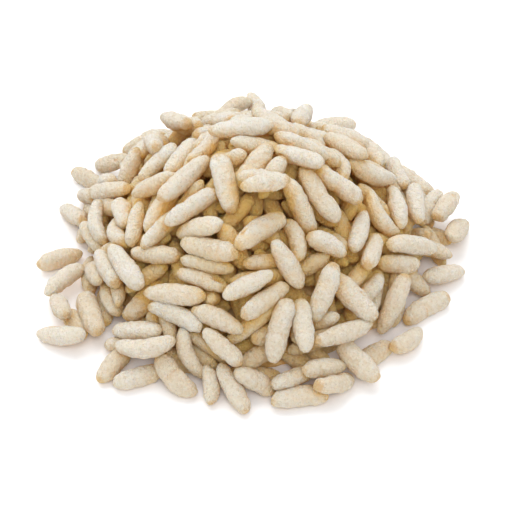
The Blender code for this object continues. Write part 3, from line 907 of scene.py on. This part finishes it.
def modelHeart():
    startFresh()
    low, last = heartShape["floorGap"] * mm, heartShape["foot"]
    bpy.ops.mesh.primitive_circle_add(vertices=heartShape["sides"], radius=last * heap["heapRadius"] * mm,
                                      fill_type="NGON", location=(0, 0, low))
    heart = bpy.context.object
    heart.name = heart.data.name = heartShape["name"]
    bpy.ops.object.transform_apply(location=True, rotation=True, scale=True)
    bpy.ops.object.mode_set(mode="EDIT")
    bpy.ops.mesh.select_all(action="SELECT")
    for share in heartShape["steps"]:
        high = max(skinAt(share) - heap["layersDepth"] - heartShape["below"], heartShape["thinnest"]) * mm
        if high <= low:
            continue
        bpy.ops.mesh.extrude_region_move(TRANSFORM_OT_translate={"value": (0, 0, high - low)})
        bpy.ops.transform.resize(value=(share / last, share / last, 1), center_override=(0, 0, high))
        low, last = high, share
    bpy.ops.mesh.select_all(action="SELECT")
    bpy.ops.mesh.normals_make_consistent(inside=False)
    bpy.ops.object.mode_set(mode="OBJECT")
    addModifier(heart, "SUBSURF", levels=heartShape["smoothing"], render_levels=heartShape["smoothing"])
    roughen(heart, heartShape["lumps"], heartShape["lumpSize"], heartShape["lumpPlace"])

    # What the lumps push below the floor is cut off again.
    startFresh()
    heart.select_set(True)
    bpy.context.view_layer.objects.active = heart
    bpy.ops.object.mode_set(mode="EDIT")
    bpy.ops.mesh.select_all(action="SELECT")
    bpy.ops.mesh.bisect(plane_co=(0, 0, heartShape["floorGap"] * mm), plane_no=(0, 0, 1),
                        use_fill=True, clear_inner=True)
    bpy.ops.object.mode_set(mode="OBJECT")
    bpy.ops.object.shade_smooth()
    return heart


def heartMaterial():
    material, shader = startMaterial("riceHeart")
    place = Wire(material.node_tree).add("ShaderNodeTexCoord", output=3)       # Object coordinates
    crumbs = place.noise(*heartLook["crumbs"])
    # Painted shade, dark gold.
    colour = crumbs.between(*heartLook["crumbRange"]).lay(heartLook["paintedShadeDark"], heartLook["paintedShadePale"])
    colour.feed(shader, "Base Color")
    crumbs.relief(heartLook["relief"]).feed(shader, "Normal")
    shader.inputs["Roughness"].default_value = heartLook["roughness"]
    return material


def addToHeap(piece, material):
    piece.data.materials.append(material)
    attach(piece, "root")
    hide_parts("puffed_rice")


grains, ground = layHeap()
print("grains laid:", len(grains))
chosen = chooseKinds(grains)
for kind in kinds:
    piece = layPiece(kind, chosen[kind["name"]], ground)
    addToHeap(piece, riceMaterial(kind))
    print(kind["name"], "grains:", len(chosen[kind["name"]]), "faces:", len(piece.data.polygons))
heart = modelHeart()
addToHeap(heart, heartMaterial())
print("heart faces:", len(heart.data.polygons))


# The floor, the light and the camera, in metres.
studio = {
    "floorSize": 4.0,
    "floorCuts": 4,
    "floorColour": (0.97, 0.98, 1.0, 1),
    "floorRoughness": 0.9,
    "floorShine": 0.1,
    "skyColour": (1, 1, 1, 1),
    "skyStrength": 0.69,
    "lightBounces": 8,          # light finds its way down between the grains
    "keyPlace": (-0.15, 0.42, 0.68),
    "keySize": 0.9,
    "keyPower": 5.15,
    "fillPlace": (0.05, -0.45, 0.62),
    "fillSize": 0.4,
    "fillPower": 2.0,
}
view = {
    "elevation": 46,            # degrees
    "distance": 0.32,
    "width": 0.1024,            # of what is seen at the middle of the heap
    "across": -0.0002,          # from the middle of the heap's box
    "forward": -0.0093,
    "height": 0.006,
    "sensorWidth": 36,          # mm
}

startFresh()
bpy.ops.mesh.primitive_plane_add(size=studio["floorSize"])
floor = bpy.context.object
floor.name = "floor"
bpy.ops.object.mode_set(mode="EDIT")
bpy.ops.mesh.select_all(action="SELECT")
bpy.ops.mesh.subdivide(number_cuts=studio["floorCuts"])
bpy.ops.object.mode_set(mode="OBJECT")
floorMaterial, floorShader = startMaterial("paleFloor")
floorShader.inputs["Base Color"].default_value = studio["floorColour"]
floorShader.inputs["Roughness"].default_value = studio["floorRoughness"]
floorShader.inputs["Specular IOR Level"].default_value = studio["floorShine"]
floor.data.materials.append(floorMaterial)

world = bpy.data.worlds.new("studio")
world.use_nodes = True
sky = world.node_tree.nodes["Background"]
sky.inputs["Color"].default_value = studio["skyColour"]
sky.inputs["Strength"].default_value = studio["skyStrength"]
scene = bpy.context.scene
scene.world = world
scene.view_settings.view_transform = "Standard"
scene.cycles.diffuse_bounces = studio["lightBounces"]
for name in ("key", "fill"):
    bpy.ops.object.light_add(type="AREA", location=studio[name + "Place"])
    light = bpy.context.object
    light.name = name
    light.data.shape = "DISK"
    light.data.size = studio[name + "Size"]
    light.data.energy = studio[name + "Power"]
    light.rotation_euler = (-light.location).to_track_quat("-Z", "Y").to_euler()

low, high = cadBox
middle = (Vector(low) + Vector(high)) / 2
lookAt = Vector((middle.x + view["across"], middle.y + view["forward"], view["height"]))
angle = math.radians(view["elevation"])
bpy.ops.object.camera_add(location=lookAt + view["distance"] * Vector((0, -math.cos(angle), math.sin(angle))))
camera = bpy.context.object
camera.name = "camera"
camera.rotation_euler = (lookAt - camera.location).to_track_quat("-Z", "Y").to_euler()
camera.data.sensor_width = view["sensorWidth"]
camera.data.lens = view["sensorWidth"] * view["distance"] / view["width"]
scene.camera = camera
print("floor, light and camera set")
